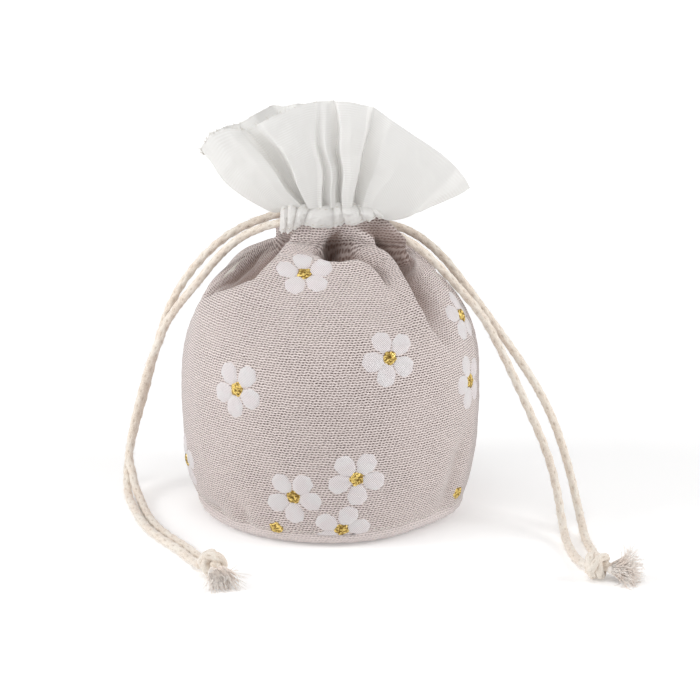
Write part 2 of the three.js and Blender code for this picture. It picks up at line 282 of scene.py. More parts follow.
def taupe_weave():
    """Light wavy rows of thread with short dark gaps between them, staggered row by row, with painted
    shade in the body's folds and a lighter strip round the base.
    """
    cell, row = 1.14, 0.80
    n = Nodes("taupe_weave", 0.85, Sheen_Weight=0.5, Sheen_Roughness=0.4)
    where, u, v, painted_shade_and_pale_strip = n.cloth()
    wander = n.noise(where, 0.09)
    v = n.add(v, n.times(n.noise(where, 0.3), 0.7))
    u = n.add(n.add(u, n.times(v, 0.3)), n.times(n.noise(where, 0.6), 0.8))
    v = n.add(v, n.times(n.wave(u, cell * 2), 0.07))
    between = n.math("MULTIPLY_ADD", n.wave(v, row), -0.5, 0.5)
    stagger = n.times(n.math("SINE", n.times(v, math.pi / row)), n.wave(u, cell))
    gap = n.times(between, n.math("MULTIPLY_ADD", stagger, 0.5, 0.5))
    strand = n.noise(where, 2.2, 3.0)
    dark = n.range(gap, 0.12, 0.5)
    dark = n.times(dark, n.range(wander, 0.25, 0.75, 0.7, 1.0))
    dark = n.times(dark, n.range(n.noise(where, 1.1), 0.3, 0.6, 0.45, 1.0))
    light = n.colour(n.range(strand, 0.3, 0.7), (0.64, 0.55, 0.525), (0.94, 0.845, 0.82))
    light = n.colour(n.times(between, 0.6), light, (0.34, 0.265, 0.245))
    base = n.colour(dark, light, (0.085, 0.052, 0.045))
    # lighter where the third cloth number is below 0, on the outer strip of the base
    base = n.colour(n.range(painted_shade_and_pale_strip, 0.0, -1.0, 0.0, 0.6), base, (0.78, 0.70, 0.68))
    # painted shade in the body's folds: darker the deeper the cloth lies in a crease or hollow
    base = n.colour(n.range(painted_shade_and_pale_strip, 0.0, 1.0, 0.0, 0.78), base, (0.17, 0.10, 0.075))
    height = n.math("MULTIPLY_ADD", gap, -1.0, n.times(strand, 0.35))
    return n.finish(base, height, depth=0.28, strength=0.8)


def white_voile():
    """Crisp thin white cloth: fine cross threads over faint ribs, and light comes through."""
    rib, thread = 0.80, 0.42
    n = Nodes("white_voile", 0.7, Sheen_Weight=0.25, Sheen_Roughness=0.4)
    where, u, v, _ = n.cloth()
    v = n.add(v, n.times(n.noise(where, 0.2), 0.35))
    ribs = n.wave(v, rib)
    cross = n.times(n.wave(u, thread), n.wave(v, thread))
    clumps = n.range(n.noise(where, 0.12, 3.0), 0.42, 0.7)
    weave = n.add(n.times(ribs, 0.45), n.times(cross, 0.45))
    weave = n.times(weave, n.math("MULTIPLY_ADD", clumps, 0.85, 0.10))
    shade = n.range(weave, -0.8, 0.8)
    base = n.colour(shade, (0.84, 0.83, 0.805), (0.935, 0.93, 0.92))
    material = n.finish(base, weave, depth=0.03, strength=0.5)
    through = n.tree.nodes.new("ShaderNodeBsdfTranslucent")
    n.put(through.inputs["Color"], base)
    mix = n.tree.nodes.new("ShaderNodeMixShader")
    mix.inputs[0].default_value = 0.35
    n.tree.links.new(n.shader.outputs[0], mix.inputs[1])
    n.tree.links.new(through.outputs[0], mix.inputs[2])
    n.tree.links.new(mix.outputs[0], n.tree.nodes["Material Output"].inputs["Surface"])
    return material


def cotton_cord():
    """Plaited cotton: pale fibres, with painted shade in the grooves of the plait."""
    n = Nodes("cotton_cord", 0.9, Sheen_Weight=0.5, Sheen_Roughness=0.5)
    where, _, _, groove = n.cloth()
    fibre = n.noise(where, 3.2, 4.0)
    patch = n.noise(where, 0.13)
    pale = n.colour(n.range(fibre, 0.3, 0.7), (0.68, 0.575, 0.475), (0.92, 0.83, 0.73))
    pale = n.colour(n.range(patch, 0.4, 0.65, 0.0, 0.5), pale, (0.88, 0.85, 0.78))
    # painted shade: the colour darkens where the plait sinks into its grooves
    base = n.colour(n.range(groove, 0.1, 0.6, 0.6, 0.0), pale, (0.46, 0.36, 0.27))
    return n.finish(base, fibre, depth=0.14, strength=0.6)


def cotton_fuzz():
    n = Nodes("cotton_fuzz", 0.9, Sheen_Weight=0.4)
    tone = n.range(n.noise(n.place(), 260, 3.0), 0.35, 0.65)
    return n.finish(n.colour(tone, (0.90, 0.79, 0.71), (1.0, 0.95, 0.90)))


def sewing_thread(name, pale, deep):
    n = Nodes(name, 0.6, Sheen_Weight=0.3)
    twist = n.range(n.noise(n.place(), 900, 3.0), 0.35, 0.65)
    return n.finish(n.colour(twist, deep, pale), twist, depth=0.05)


def daisy_petal():
    """Satin stitch: fine slanting threads, slightly uneven in tone."""
    n = Nodes("daisy_petal", 0.55, Sheen_Weight=0.3, Sheen_Roughness=0.3)
    where, u, v, _ = n.cloth()
    slant = n.add(u, n.times(v, 0.8))
    thread = n.wave(n.add(slant, n.times(n.noise(where, 0.8), 0.35)), 0.62)
    tint = n.noise(where, 0.16)
    base = n.colour(n.range(thread, -0.9, 0.4), (0.60, 0.55, 0.55), (0.86, 0.80, 0.81))
    base = n.colour(n.range(tint, 0.45, 0.62, 0.0, 0.3), base, (0.78, 0.80, 0.80))
    return n.finish(base, thread, depth=0.10, strength=0.7)


def gold_thread():
    """Gold lurex: small glittering flat threads, some bright and some dark, as painted glints and painted
    dark facets over the metal's own reflections.
    """
    n = Nodes("gold_thread", 0.35, Metallic=0.85)
    place = n.place()
    cell = n.cells(place, 1900)
    sparkle = n.tree.nodes.new("ShaderNodeSeparateColor")
    n.tree.links.new(cell, sparkle.inputs[0])
    tone = n.range(sparkle.outputs[0], 0.1, 0.9)
    # painted glints and painted dark facets: each cell of thread gets its own gold, from dark brown to
    # bright
    base = n.colour(tone, (0.24, 0.14, 0.03), (0.95, 0.72, 0.24))
    height = n.cells(place, 1900, "Distance")
    rough = n.range(sparkle.outputs[1], 0.0, 1.0, 0.22, 0.55)
    return n.finish(base, height, depth=0.25, strength=1.0, roughness=rough)


TAUPE = taupe_weave()
VOILE = white_voile()
CORD = cotton_cord()
FUZZ = cotton_fuzz()
THREAD = sewing_thread("white_thread", (0.86, 0.84, 0.79), (0.66, 0.62, 0.56))
PETAL = daisy_petal()
GOLD = gold_thread()


# ---------------------------------------------------------------- cords

LEFT_CORD_Z, RIGHT_CORD_Z = 97.6, 94.4     # heights of the two cords in the casing
CORD_TURN_R = 6.5                          # radius of a cord's turn round the neck's end
HELD_X = 6       # a strand starts this far past the middle, so a pulled one stays held
ON_TABLE = 1.45

# Points with two numbers lie on the table.
ROUTES = {
    "left_cord_back_strand": [
        (HELD_X, CORD_TURN_R, LEFT_CORD_Z), (-17, CORD_TURN_R, LEFT_CORD_Z), (-24, 7.2, 95.4),
        (-32.5, 9.4, 90.8), (-41.1, 12, 83.2), (-48.8, 14.6, 73.3), (-54.5, 17.2, 62.6),
        (-57.5, 18.9, 53.7), (-60.4, 20.4, 43.8), (-63.2, 21.6, 33), (-66.2, 21.6, 22.6),
        (-68.4, 19.8, 14.2), (-69.2, 16, 8.6), (-69.2, 11.2, 5.2), (-68.6, 5.2, 2.8), (-67.4, -1),
        (-65.4, -9), (-62.6, -20), (-58.8, -30.6), (-53.6, -40.6), (-48.2, -49.6), (-44, -58),
        (-40.4, -67, 2.6),
    ],
    "left_cord_front_strand": [
        (HELD_X, -CORD_TURN_R, LEFT_CORD_Z), (-17, -CORD_TURN_R, LEFT_CORD_Z),
        (-23.8, -5.2, 95.3), (-29.6, -3, 91.8), (-34.4, -0.6, 87.3), (-39.1, 2.4, 81.7),
        (-43, 5.4, 76.2), (-46.8, 8.2, 71), (-51.4, 11.8, 64.6), (-55.6, 14.9, 57.4),
        (-58.2, 16.1, 50.6), (-60.6, 17, 44.8), (-63.9, 18.2, 34), (-66.6, 18.2, 23.6),
        (-68.3, 16.5, 15.1), (-68.5, 13.6, 10.9), (-67.3, 10, 7.5), (-66, 4.6, 4.4),
        (-64.2, -0.6, 2.3), (-62.3, -8.3), (-59.6, -19.1), (-55.9, -29.3), (-50.9, -39.1),
        (-45.4, -48.1), (-41.2, -56.7), (-37.2, -65.7, 2.6),
    ],
    "right_cord_back_strand": [
        (-HELD_X, CORD_TURN_R, RIGHT_CORD_Z), (17, CORD_TURN_R, RIGHT_CORD_Z), (23, 6.4, 93.2),
        (30, 5.8, 89.6), (37, 4.2, 83.6), (43.8, 2, 75.4), (50.2, 0, 67), (56.4, -2.4, 58.8),
        (62.8, -5, 50), (68.6, -7.6, 41), (73.2, -10.4, 31.8), (76.4, -13.6, 23),
        (78.8, -17.6, 14.8), (80.4, -23, 8), (81.4, -30, 3.6), (82, -39), (83, -49), (84.4, -59),
        (84.9, -67.3, 2.6),
    ],
    "right_cord_front_strand": [
        (-HELD_X, -CORD_TURN_R, RIGHT_CORD_Z), (17, -CORD_TURN_R, RIGHT_CORD_Z), (22.6, -6.3, 93),
        (28.4, -5.9, 89.4), (35.2, -5.4, 83), (42.4, -5.2, 75), (49.6, -6.2, 66.2),
        (55.4, -8, 56), (60.4, -10.2, 45.8), (65.2, -12.8, 35.6), (69.4, -16.2, 26.4),
        (72.2, -20.4, 18.6), (73.8, -25.6, 11.8), (74.7, -32, 6), (75.3, -39.6, 2.6), (76.2, -48),
        (77.8, -58), (80.6, -67.9, 2.6),
    ],
}


def length_along(line):
    """How far along a line each of its points is."""
    return np.concatenate([[0], np.cumsum(np.linalg.norm(np.diff(line, axis=0), axis=1))])


def tube_faces(count, sides):
    """Faces of a tube made of rings, with both ends closed."""
    last = (count - 1) * sides
    ends = tuple(range(sides)), tuple(range(last, last + sides))[::-1]
    return [*grid_faces(count, sides, wrap=True, flip=True), *ends]


def smooth_line(points, step):
    """A centripetal Catmull-Rom curve through the points, resampled at even steps."""
    p = np.array(points, float)
    p = np.vstack([2 * p[0] - p[1], p, 2 * p[-1] - p[-2]])
    samples = []
    for a, b, c, d in zip(p, p[1:], p[2:], p[3:]):
        k1 = np.linalg.norm(b - a) ** 0.5
        k2 = k1 + np.linalg.norm(c - b) ** 0.5
        k3 = k2 + np.linalg.norm(d - c) ** 0.5
        t = np.linspace(k1, k2, 24, endpoint=False)[:, None]
        ab = (k1 - t) / k1 * a + t / k1 * b
        bc = (k2 - t) / (k2 - k1) * b + (t - k1) / (k2 - k1) * c
        cd = (k3 - t) / (k3 - k2) * c + (t - k2) / (k3 - k2) * d
        abc = (k2 - t) / k2 * ab + t / k2 * bc
        bcd = (k3 - t) / (k3 - k1) * bc + (t - k1) / (k3 - k1) * cd
        samples.append((k2 - t) / (k2 - k1) * abc + (t - k1) / (k2 - k1) * bcd)
    dense = np.vstack([*samples, p[-2]])
    along = length_along(dense)
    even = np.linspace(0, along[-1], max(2, round(along[-1] / step)) + 1)
    return np.stack([np.interp(even, along, dense[:, k]) for k in range(3)], 1), even


def turning_frames(line):
    """Two directions across the line at each point, turning as little as they can."""
    tangent = unit(np.gradient(line, axis=0))
    across = np.cross(tangent[0], (0.0, 0.0, 1.0))
    if np.linalg.norm(across) < 0.1:
        across = np.cross(tangent[0], (0.0, 1.0, 0.0))
    side = []
    for t in tangent:
        across = unit(across - t * np.dot(across, t))
        side.append(across)
    side = np.array(side)
    return side, np.cross(tangent, side)


PLAIT_STRANDS, PLAIT_PITCH = 3, 5.6
CORD_STEP, CORD_SIDES = 0.33, 22         # length of a step and sides of a cord's mesh


def cord_tube(points, radius=CORD_R, seed=0.0):
    """A plaited cord along a line: two families of strands that cross each other."""
    line, along = smooth_line(points, CORD_STEP)
    side, up = turning_frames(line)
    turn = np.linspace(0, math.tau, CORD_SIDES, endpoint=False)
    s, a = np.meshgrid(along, turn, indexing="ij")
    right = np.abs(np.cos(PLAIT_STRANDS * a / 2 + math.pi * s / PLAIT_PITCH + seed))
    left = np.abs(np.cos(PLAIT_STRANDS * a / 2 - math.pi * s / PLAIT_PITCH + 1.3 * seed))
    over = 0.5 + 0.5 * np.tanh(3 * np.sin(2 * math.pi * s / PLAIT_PITCH + PLAIT_STRANDS * a))
    plait = np.maximum(right * (0.75 + 0.25 * over), left * (1 - 0.25 * over))
    ring = np.cos(a)[..., None] * side[:, None] + np.sin(a)[..., None] * up[:, None]
    lumps = cloud(line[:, None] + ring * radius, 0.9, seed + 3.1)
    r = radius * (0.80 + 0.22 * plait ** 1.5 + 0.05 * lumps)
    near_end = np.minimum(along, along[-1] - along)
    r = r * np.sqrt(np.clip(near_end / (0.6 * radius), 0.02, 1))[:, None]
    tube = line[:, None] + ring * r[..., None]
    cloth = np.stack([s, a * radius, plait], -1)
    faces = tube_faces(len(line), CORD_SIDES)
    return tube.reshape(-1, 3), faces, cloth.reshape(-1, 3), line


def fibres(pile, roots, headings, lengths, width, curl, rng, floor=0.15, droop=0.0):
    """Thin three-sided hairs that wander as they go, and lie on the table if they reach it."""
    steps = 9
    for root, heading, length in zip(roots, headings, lengths):
        axis = unit(heading)
        wander = np.cumsum(rng.normal(0, curl, (steps, 3)), axis=0)
        t = np.linspace(0, 1, steps)[:, None]
        way = unit(axis + wander * t)
        way[:, 2] -= droop * t[:, 0]
        line = root + np.cumsum(np.vstack([np.zeros(3), unit(way)[1:]]), axis=0) * length / (steps - 1)
        line[:, 2] = np.maximum(line[:, 2], floor)
        side, up = turning_frames(line)
        r = width / 2 * (1 - 0.6 * t[:, 0] ** 2)
        turns = [0, math.tau / 3, 2 * math.tau / 3]
        ring = np.stack([np.cos(k) * side + np.sin(k) * up for k in turns], 1)
        tube = line[:, None] + ring * r[:, None, None]
        pile.add(tube, tube_faces(steps, 3))


def strand_fuzz(name, line, rng):
    """Loose fibres that stand off the cord, all along its free length."""
    pile = Pile()
    side, up = turning_frames(line)
    tangent = unit(np.gradient(line, axis=0))
    outside = [i for i in range(len(line)) if abs(line[i, 0]) > 19]
    at = rng.choice(outside, 5 * len(outside) // 3)
    turn = rng.uniform(0, math.tau, len(at))
    radial = np.cos(turn)[:, None] * side[at] + np.sin(turn)[:, None] * up[at]
    roots = line[at] + radial * CORD_R * 0.85
    lean = rng.uniform(0.25, 0.9, (len(at), 1))
    headings = radial * lean + tangent[at] * rng.choice([-1, 1], (len(at), 1))
    fibres(pile, roots, headings, rng.uniform(0.8, 2.0, len(at)), 0.07, 0.22, rng, floor=0.06)
    return pile.build(f"{name}_fuzz", FUZZ)


def knot(side, place, heading):
    """An overhand knot of the two strands: turns of cord round the pair, and a crossing."""
    forward = np.array([math.cos(heading), math.sin(heading), 0])
    across = np.array([-math.sin(heading), math.cos(heading), 0])
    up = np.array([0.0, 0.0, 1.0])
    centre = np.array([place[0], place[1], 4.35])
    pile = Pile()

    def turn_point(angle, radius, shift):
        return centre + forward * shift + radius * (across * math.cos(angle) + up * math.sin(angle))

    turns, wrap_r = 2.15, 2.75
    wrap = []
    for k in range(27):
        share = k / 26
        angle = math.tau * turns * share + 0.9
        wrap.append(turn_point(angle, wrap_r + 0.12 * math.sin(3 * angle), -2.6 + 5.2 * share))
    cross_r = 3.25
    cross = []
    for k in range(13):
        share = k / 12
        angle = 0.35 * math.pi + 0.85 * math.pi * share
        cross.append(turn_point(angle, cross_r * math.sin(math.pi * (0.12 + 0.76 * share)) + 0.5,
                                3.4 - 6.6 * share))
    core = [centre + forward * x + up * 0.1 * x for x in (-4.0, -2.0, 0.0, 2.0, 4.2)]
    for number, (points, radius) in enumerate(((wrap, 1.42), (cross, 1.3), (core, 1.75))):
        tube, faces, cloth, _ = cord_tube(points, radius, seed=2.0 + number)
        tube[:, 2] = np.maximum(tube[:, 2], 0.12)
        pile.add(tube, faces, cloth)
    obj = pile.build(f"{side}_overhand_knot", CORD)
    piece(obj, f"{side}_drawcord", f"{side}_knot")
    return obj, centre, forward, across


def frayed_end(side, letter, centre, forward, across, offset, size, rng):
    """The cut end of one strand, opened into a brush of curling fibres."""
    pile = Pile()
    root = centre + forward * 3.6 + across * offset * 1.3 - np.array([0, 0, 0.6])
    stub = [root - forward * 0.5, root + forward * 1.2, root + forward * 2.6 + across * offset * 0.5]
    tube, faces, cloth, _ = cord_tube(stub, CORD_R * 0.95, seed=5.0 + offset)
    pile.add(tube, faces, cloth)
    reach, spread, droop, curl, count = size
    angle = rng.uniform(0, math.tau, count)
    radius = CORD_R * np.sqrt(rng.uniform(0, 1, count))
    ring = np.cos(angle)[:, None] * across + np.sin(angle)[:, None] * np.array([0, 0, 1.0])
    roots = root + forward * 1.0 + ring * radius[:, None]
    headings = forward + ring * (radius / CORD_R * spread)[:, None] + across * offset * 0.18
    lengths = rng.uniform(0.65, 1.0, count) * reach
    fibres(pile, roots, headings, lengths, 0.27, curl, rng, floor=0.15, droop=droop)
    obj = pile.build(f"{side}_brush_{letter}", FUZZ)
    piece(obj, f"{side}_drawcord", f"{side}_frayed_end_{letter}")
    return obj


def drawcord(side, place, heading, brush, seed):
    """One drawcord: its two free strands, the knot that joins them and its frayed ends."""
    rng = np.random.default_rng(seed)
    body = f"{side}_drawcord"
    tie, centre, forward, across = knot(side, place, heading)
    ends = [
        frayed_end(side, "a", centre, forward, across, -1, brush, rng),
        frayed_end(side, "b", centre, forward, across, 1, brush, rng),
    ]
    for number, where in enumerate(("back", "front")):
        name = f"{side}_cord_{where}_strand"
        route = [(*point, ON_TABLE)[:3] for point in ROUTES[name]]
        points, faces, cloth, line = cord_tube(route, seed=0.7 * (number + seed))
        obj = new_object(f"{name}_cord", points, faces, CORD, cloth)
        fuzz = strand_fuzz(name, line, rng)
        piece(obj, body, name)
        piece(fuzz, body)


drawcord("left", (-36.2, -70.2), -1.25, (11.5, 0.10, 0.4, 0.15, 110), seed=1)
drawcord("right", (82.8, -72), -0.15, (11.5, 0.55, 0.15, 0.34, 170), seed=2)


def bight(side, z, out):
    """The closed turn of a cord round the far end of the neck, inside the casing."""
    turn = [
        (out * (NECK_FLAT + CORD_TURN_R * math.cos(a)), CORD_TURN_R * math.sin(a), z)
        for a in np.linspace(-math.pi / 2, math.pi / 2, 11)
    ]
    ends = [[(out * 7.0, y, z)] for y in (-CORD_TURN_R, CORD_TURN_R)]
    tube, faces, cloth, _ = cord_tube(ends[0] + turn + ends[1], seed=out + 3.0)
    obj = new_object(f"{side}_cord_turn", tube, faces, CORD, cloth=cloth)
    piece(obj, "sack", f"{side}_cord_bight")


bight("left", LEFT_CORD_Z, 1)
bight("right", RIGHT_CORD_Z, -1)


# ---------------------------------------------------------------- body of the sack

def body_section(z):
    """Flat side and half depth of the unfolded body at height z."""
    z = np.asarray(z, float)
    drop = np.clip(1 - z / BELLY_Z, 0, 1)
    rise = np.clip((z - BELLY_Z) / (BODY_TOP - BELLY_Z), 0, 1)
    foot = (1 - drop ** 3) ** 0.7
    shoulder = np.maximum(1 - rise ** 2.2, 0) ** 0.75
    flat = np.where(z < BELLY_Z, 0, NECK_FLAT * (1 - shoulder))
    low = FOOT_R + (BODY_R - FOOT_R) * foot
    high = NECK_DEPTH + (BODY_R - NECK_DEPTH) * shoulder
    return flat, np.where(z < BELLY_Z, low, high)


def round_section(angle, flat, depth):
    along = np.clip(2.5 * np.cos(angle), -1, 1)
    return flat * along + depth * np.cos(angle), depth * np.sin(angle)


def body_point(degrees, z):
    """A place on the unfolded body."""
    angle = np.radians(np.asarray(degrees, float))
    flat, depth = body_section(z)
    x, y = round_section(angle, flat, depth)
    return np.stack([x, y, np.broadcast_to(np.asarray(z, float), x.shape)], -1)


# A crease is a line of (angle, height, depth) from the neck down. The cloth on its low side
# dips by the depth and rises again over the reach; the cloth on its high side rolls over it.
CREASES = [
    # the pocket under the left shoulder, with the belly swelling up below it
    dict(line=[(-112, 97, 1), (-118, 91.5, 4), (-126, 87, 7), (-130, 81.8, 8.5), (-141, 79, 7.5),
               (-155, 75.1, 5.5), (-168, 70.5, 2.5)], low=-1, reach=10, lip=3.4, lip_reach=8),
    # the hole in the middle and the thin crease that runs on from it
    dict(line=[(-89, 94, 4), (-96, 90.4, 7), (-93, 87.8, 9), (-84, 88, 8.5), (-76, 88.2, 6),
               (-70.4, 86.8, 5), (-65.9, 84.5, 3), (-62, 82, 0.8)], low=1, reach=4, lip=2.2,
         lip_reach=5),
    # the right edge of the ridge, and the long valley down the right shoulder
    dict(line=[(-76, 97, 2), (-66, 94, 5), (-59.6, 90.4, 7), (-50, 86.4, 7), (-48.5, 80.7, 6),
               (-48.5, 75.1, 4.4), (-45.6, 69, 2.6), (-36, 60, 0.3)], low=1, reach=7, lip=3.4,
         lip_reach=4.2),
    # sides and back
    dict(line=[(-8, 94, 3), (-12, 86, 4.5), (-14, 78, 3), (-10, 68, 0.3)], low=1, reach=6, lip=1.6,
         lip_reach=6),
    dict(line=[(40, 95, 3), (30, 88, 6), (34, 80, 5), (31, 68, 0.5)], low=-1, reach=7, lip=2.4,
         lip_reach=6),
    dict(line=[(75, 95, 4), (66, 90, 7), (64, 83, 6.5), (56, 74, 3.5), (52, 62, 0.3)], low=1,
         reach=7, lip=3.2, lip_reach=5),
    dict(line=[(92, 95, 3), (97, 89, 7), (91, 83.5, 6.5), (84, 79, 1.5)], low=-1, reach=5,
         lip=2.4, lip_reach=5),
    dict(line=[(112, 95, 3), (122, 89, 6.5), (121, 80, 5.5), (128, 68, 2), (126, 58, 0)], low=1,
         reach=8, lip=2.8, lip_reach=5),
    dict(line=[(150, 94, 3), (156, 86, 6), (149, 79, 5), (141, 75, 1)], low=-1, reach=7,
         lip=2.0, lip_reach=6),
    dict(line=[(178, 94, 2), (184, 86, 4), (181, 76, 3), (186, 66, 0.2)], low=1, reach=6, lip=1.4,
         lip_reach=6),
]

# Soft hollows, as lines of (angle, height, depth) with a width.
HOLLOWS = [
    dict(line=[(-140, 88, 2), (-156, 84, 4.5), (-172, 80, 3)], width=8.0),
    dict(line=[(-50, 93, 1.5), (-41, 85, 2.4), (-38, 75, 2.2), (-34, 66, 0.6)], width=5.5),
    dict(line=[(-88, 95.5, 3), (-90, 90.5, 7)], width=1.8),
    dict(line=[(-95, 89.9, 5), (-80, 90.0, 6)], width=3.0),
    dict(line=[(-170, 6.4, 1.2), (-146, 6.4, 1.6), (-138, 6, 0.4)], width=2.2),
    dict(line=[(-26, 34, 0.3), (-30, 24, 1.6), (-34, 12, 1.6), (-36, 5, 0.6)], width=5.0),
    dict(line=[(-131, 15, 0.2), (-128, 9, 1.2), (-127, 4.6, 1.0)], width=3.0),
    dict(line=[(-118, 24, 0.1), (-108, 16, 0.9), (-100, 12, 0.1)], width=6.0),
    dict(line=[(-60, 82, 0.2), (-66, 76, 0.8), (-70, 66, 0.1)], width=5.0),
    dict(line=[(60, 40, 0.2), (66, 26, 1.2), (70, 12, 0.4)], width=6.0),
    dict(line=[(112, 52, 0.2), (104, 34, 1.0), (108, 16, 0.2)], width=7.0),
    dict(line=[(158, 44, 0.2), (150, 24, 1.1), (152, 8, 0.3)], width=5.0),
]


def to_line(points, normals, line):
    """Each point's distance from a line on the body, its side of it, and the line's own depth
    at the nearest place."""
    line = np.array(line, float)
    nodes, values = body_point(line[:, 0], line[:, 1]), line[:, 2]
    best = np.full(len(points), 1e9)
    side, depth, beyond = np.ones(len(points)), np.zeros(len(points)), np.zeros(len(points))
    last = len(nodes) - 2
    for k, (a, b) in enumerate(zip(nodes, nodes[1:])):
        way = b - a
        t = ((points - a) @ way) / (way @ way)
        inside = np.clip(t, 0, 1)
        away = points - (a + inside[:, None] * way)
        distance = np.linalg.norm(away, axis=1)
        nearer = distance < best - 1e-9
        best = np.where(nearer, distance, best)
        turn = np.einsum("ij,ij->i", np.cross(way, away), normals)
        side = np.where(nearer, np.sign(turn), side)
        depth = np.where(nearer, values[k] + (values[k + 1] - values[k]) * inside, depth)
        over = np.where(k == last, np.maximum(t - 1, 0) * np.linalg.norm(way), 0)
        beyond = np.where(nearer, over, beyond)
    return best, side, depth * bell(beyond, 4)


def fold_depth(points, normals, z, degrees):
    """How far each point of the body moves out along its normal, and the painted shade it
    gets for lying deep in a fold, from 0 to 1."""
    flat_points, flat_normals = points.reshape(-1, 3), normals.reshape(-1, 3)
    low, high = np.zeros(len(flat_points)), np.zeros(len(flat_points))
    for crease in CREASES:
        distance, side, depth = to_line(flat_points, flat_normals, crease["line"])
        signed = distance * side * crease["low"]
        share = smoothstep(-0.45, 0.45, signed)
        dip = share * depth * np.exp(-np.maximum(signed, 0) / crease["reach"])
        roll = (1 - share) * crease["lip"] * np.minimum(depth / 4, 1)
        roll = roll * np.exp(-((np.minimum(signed, 0) / crease["lip_reach"]) ** 2))
        low, high = np.maximum(low, dip), np.maximum(high, roll)
    for hollow in HOLLOWS:
        distance, _, depth = to_line(flat_points, flat_normals, hollow["line"])
        low = low + depth * bell(distance, hollow["width"])
    # Painted shade for the cloth's colour: darker the deeper the cloth dips, counted in full also where
    # the dip over the cord is cut short.
    shade = 1 - np.exp(-((np.maximum(low - 0.6 * high, 0) / 3.4) ** 1.4))
    move = (high - low).reshape(z.shape)
    near_neck = smoothstep(80, 94, z)
    angle = np.radians(degrees)
    pleat = np.abs(np.sin(10.5 * angle + 1.3 * np.sin(2 * angle + 0.6) + 0.7)) ** 0.6
    move = move - near_neck * 1.1 * (1 - pleat)
    move = move + 0.7 * cloud(points, 30, 1.7) * (1 - 0.5 * near_neck) + 0.2 * cloud(points, 9, 4.2)
    over_cord = smoothstep(90.4, 92.6, z)
    move = np.maximum(move, -0.9 - 14 * (1 - over_cord))
    tuck = smoothstep(0.5, 2.5, z - casing_edge(degrees)) * (1.3 + np.maximum(move + 0.3, 0))
    seam = np.abs(np.abs(degrees) - 180)
    seam = np.minimum(seam, np.abs(degrees)) * np.radians(1) * BODY_R
    pucker = 0.12 * np.cos(z * math.tau / 4.2) * bell(seam, 2.5)
    move = move - tuck - 0.75 * bell(seam, 0.9) + pucker - 0.15 * bell(z - BASE_SEAM_Z, 0.7)
    return move, shade.reshape(z.shape)


def profile_heights(count):
    """Heights of even steps along the unfolded body, and the length along it."""
    neck = [BODY_TOP + 1, BODY_TOP + 3, CASING_Z0 + 6.4]
    z = np.concatenate([np.linspace(BASE_SEAM_Z, BODY_TOP - 0.02, 900), neck])
    r = body_section(z)[1]
    along = np.concatenate([[0], np.cumsum(np.hypot(np.diff(z), np.diff(r)))])
    even = np.linspace(0, along[-1], count)
    return np.interp(even, along, z), even


def relax(p, passes):
    """Evens out a grid of points, leaving its border where it is."""
    for _ in range(passes):
        middle = (p[:-2, 1:-1] + p[2:, 1:-1] + p[1:-1, :-2] + p[1:-1, 2:]) / 4
        p[1:-1, 1:-1] = 0.5 * p[1:-1, 1:-1] + 0.5 * middle
    return p


BODY_ROWS, BODY_COLS = 210, 600
BODY_Z, BODY_ALONG = profile_heights(BODY_ROWS)


# Gaps between the puffs of the casing: x at the lower edge, x at the top, height of the edge.
CASING_GAPS = {
    FRONT: [(-16.4, -16.0, 95.2), (-14.6, -13.6, 94.6), (-12.2, -10.6, 95.6), (-8.9, -6.4, 97.6),
            (0.9, 1.0, 96.6), (4.6, 3.4, 97.6), (10.9, 8.0, 98.4), (14.6, 12.8, 99.4),
            (17.6, 17.2, 99.0)],
    BACK: [(-16.6, -16.2, 95.2), (-13.2, -12.2, 95.8), (-10.0, -11.0, 95.0), (-4.4, -6.6, 96.6),
           (-1.2, -1.8, 95.6), (4.0, 2.6, 97.2), (7.8, 7.6, 96.4), (12.6, 10.6, 98.2),
           (17.6, 17.0, 98.8)],
}


def casing_edge(degrees):
    """Height of the seam between the body and the casing, which rises to the right."""
    x = round_section(np.radians(degrees), NECK_FLAT, NECK_DEPTH)[0]
    front, back = (np.array(CASING_GAPS[side]) for side in (FRONT, BACK))
    ahead = np.interp(x, front[:, 0], front[:, 2])
    behind = np.interp(x, back[:, 0], back[:, 2])
    return np.where(np.asarray(degrees) < 0, ahead, behind)


def body_grid():
    degrees = np.linspace(-180, 180, BODY_COLS + 1)
    zz, dd = np.meshgrid(BODY_Z, degrees, indexing="ij")
    p = body_point(dd, zz)
    n = grid_normals(p)
    n[:, -1] = n[:, 0]
    move, shade = fold_depth(p, n, zz, dd)
    p = p + n * move[..., None]
    lobe = bell(dd + 33, 22) * bell(zz - 91.6, 5.6)
    p[..., 0] += 9.6 * lobe
    p[..., 1] -= 7.0 * lobe
    p[..., 2] += foot_lift(dd) * (1 - smoothstep(5, 20, zz))
    wide = np.concatenate([p[:, -9:-1], p, p[:, 1:9]], 1)
    wide = relax(wide, 2)
    soft = smoothstep(84, 91, BODY_Z)[:, None, None] * 0.85
    wide = wide * (1 - soft) + relax(wide.copy(), 16) * soft
    p = wide[:, 8:-8]
    p[:, -1] = p[:, 0]
    return p, shade


def foot_lift(degrees):
    """The sack's edge stands a little off the table at the front right."""
    return 1.4 * bell(degrees + 42, 20)


# the second grid is the painted shade for the folds, which the cloth's colour reads
BODY_P, BODY_PAINTED_SHADE = body_grid()
BODY_N = grid_normals(BODY_P)


def cloth_places(p, along, shade=0.0):
    """Where each point is on the cloth, along the row from the middle and up from the seam,
    and the painted shade it gets in a fold."""
    step = np.linalg.norm(np.diff(p, axis=1), axis=2)
    u = np.concatenate([np.zeros((len(p), 1)), np.cumsum(step, axis=1)], 1)
    u = u - u[:, p.shape[1] // 2][:, None]
    v = np.broadcast_to(along[:, None], u.shape)
    return np.stack([u, v, shade + np.zeros_like(u)], -1)


BODY_U = cloth_places(BODY_P, BODY_ALONG)[..., 0]


